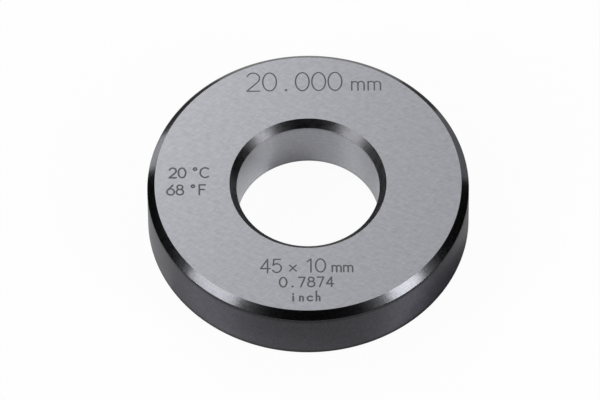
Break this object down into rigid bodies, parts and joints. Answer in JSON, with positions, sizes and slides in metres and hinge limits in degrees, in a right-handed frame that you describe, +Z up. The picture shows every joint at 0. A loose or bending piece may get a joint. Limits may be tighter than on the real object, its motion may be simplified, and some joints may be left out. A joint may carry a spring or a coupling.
{
  "type": "setting ring gauge",
  "caption": "Plain steel setting ring that lies flat, with a lapped bore, ground faces and bevelled edges, for setting an internal measuring instrument to a known diameter.",
  "frame": {"origin": "where the bore's axis meets the lower ground face, on which the ring lies", "axes": "+Z up the bore's axis, X and Y across it; the marks on the upper face read from the -Y side"},
  "size_m": [0.045, 0.045, 0.01],
  "materials": {
    "setting_ring": "hardened steel: faces ground, bore lapped, outside wall and bevels darkened"
  },
  "bodies": {
    "root": {"setting_ring": "setting_ring"}
  },
  "joints": []
}
